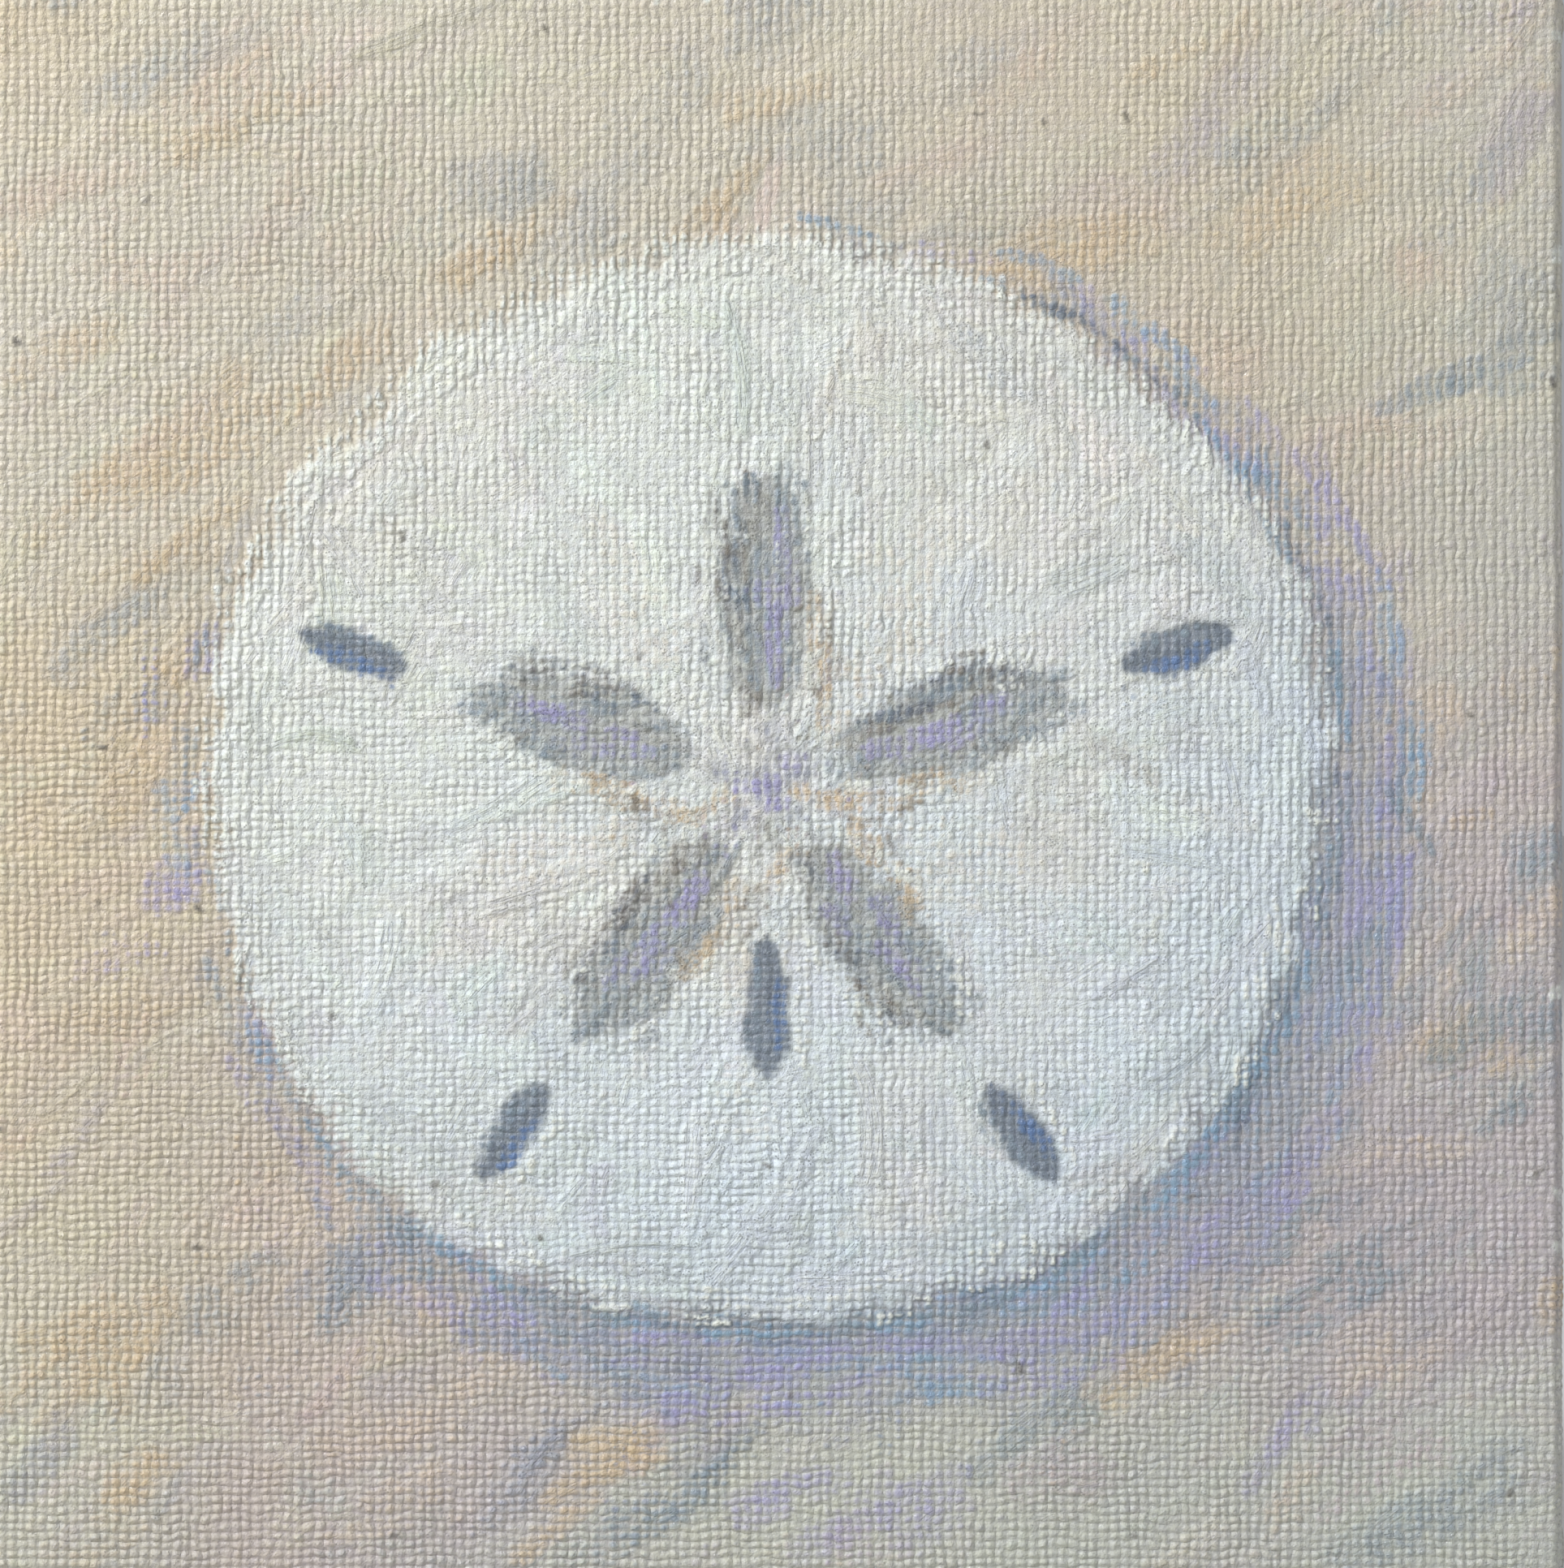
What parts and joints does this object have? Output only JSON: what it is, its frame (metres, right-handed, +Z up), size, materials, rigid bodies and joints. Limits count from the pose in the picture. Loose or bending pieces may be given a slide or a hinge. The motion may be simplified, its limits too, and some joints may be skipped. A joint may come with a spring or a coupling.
{
  "type": "painting on stretched canvas",
  "caption": "Small square painting on stretched cotton canvas over mitred softwood bars, stapled on the back; it stands on its edge or hangs on a nail.",
  "frame": {"origin": "bottom centre of the object's box, on the surface that its lower edge stands on", "axes": "+Z up the picture, +X to the right of somebody who looks at it, -Y out of the painted face"},
  "size_m": [0.1026, 0.0194, 0.1016],
  "materials": {
    "canvas": "primed cotton canvas, painted on the face and the sides",
    "pine": "planed, unfinished softwood",
    "staple_wire": "flat zinc-plated wire",
    "paint": "dry brushed artist's paint with a soft sheen"
  },
  "bodies": {
    "root": {"canvas": "canvas", "bar_bottom": "pine", "bar_right": "pine", "bar_top": "pine", "bar_left": "pine", "staple_bottom_1": "staple_wire", "staple_bottom_2": "staple_wire", "staple_bottom_3": "staple_wire", "staple_right_1": "staple_wire", "staple_right_2": "staple_wire", "staple_right_3": "staple_wire", "staple_top_1": "staple_wire", "staple_top_2": "staple_wire", "staple_top_3": "staple_wire", "staple_left_1": "staple_wire", "staple_left_2": "staple_wire", "staple_left_3": "staple_wire", "fold_staple_bottom_left": "staple_wire", "fold_staple_bottom_right": "staple_wire", "fold_staple_top_left": "staple_wire", "fold_staple_top_right": "staple_wire", "mitre_staple_bottom_left": "staple_wire", "mitre_staple_bottom_right": "staple_wire", "mitre_staple_top_left": "staple_wire", "mitre_staple_top_right": "staple_wire"}
  },
  "joints": []
}
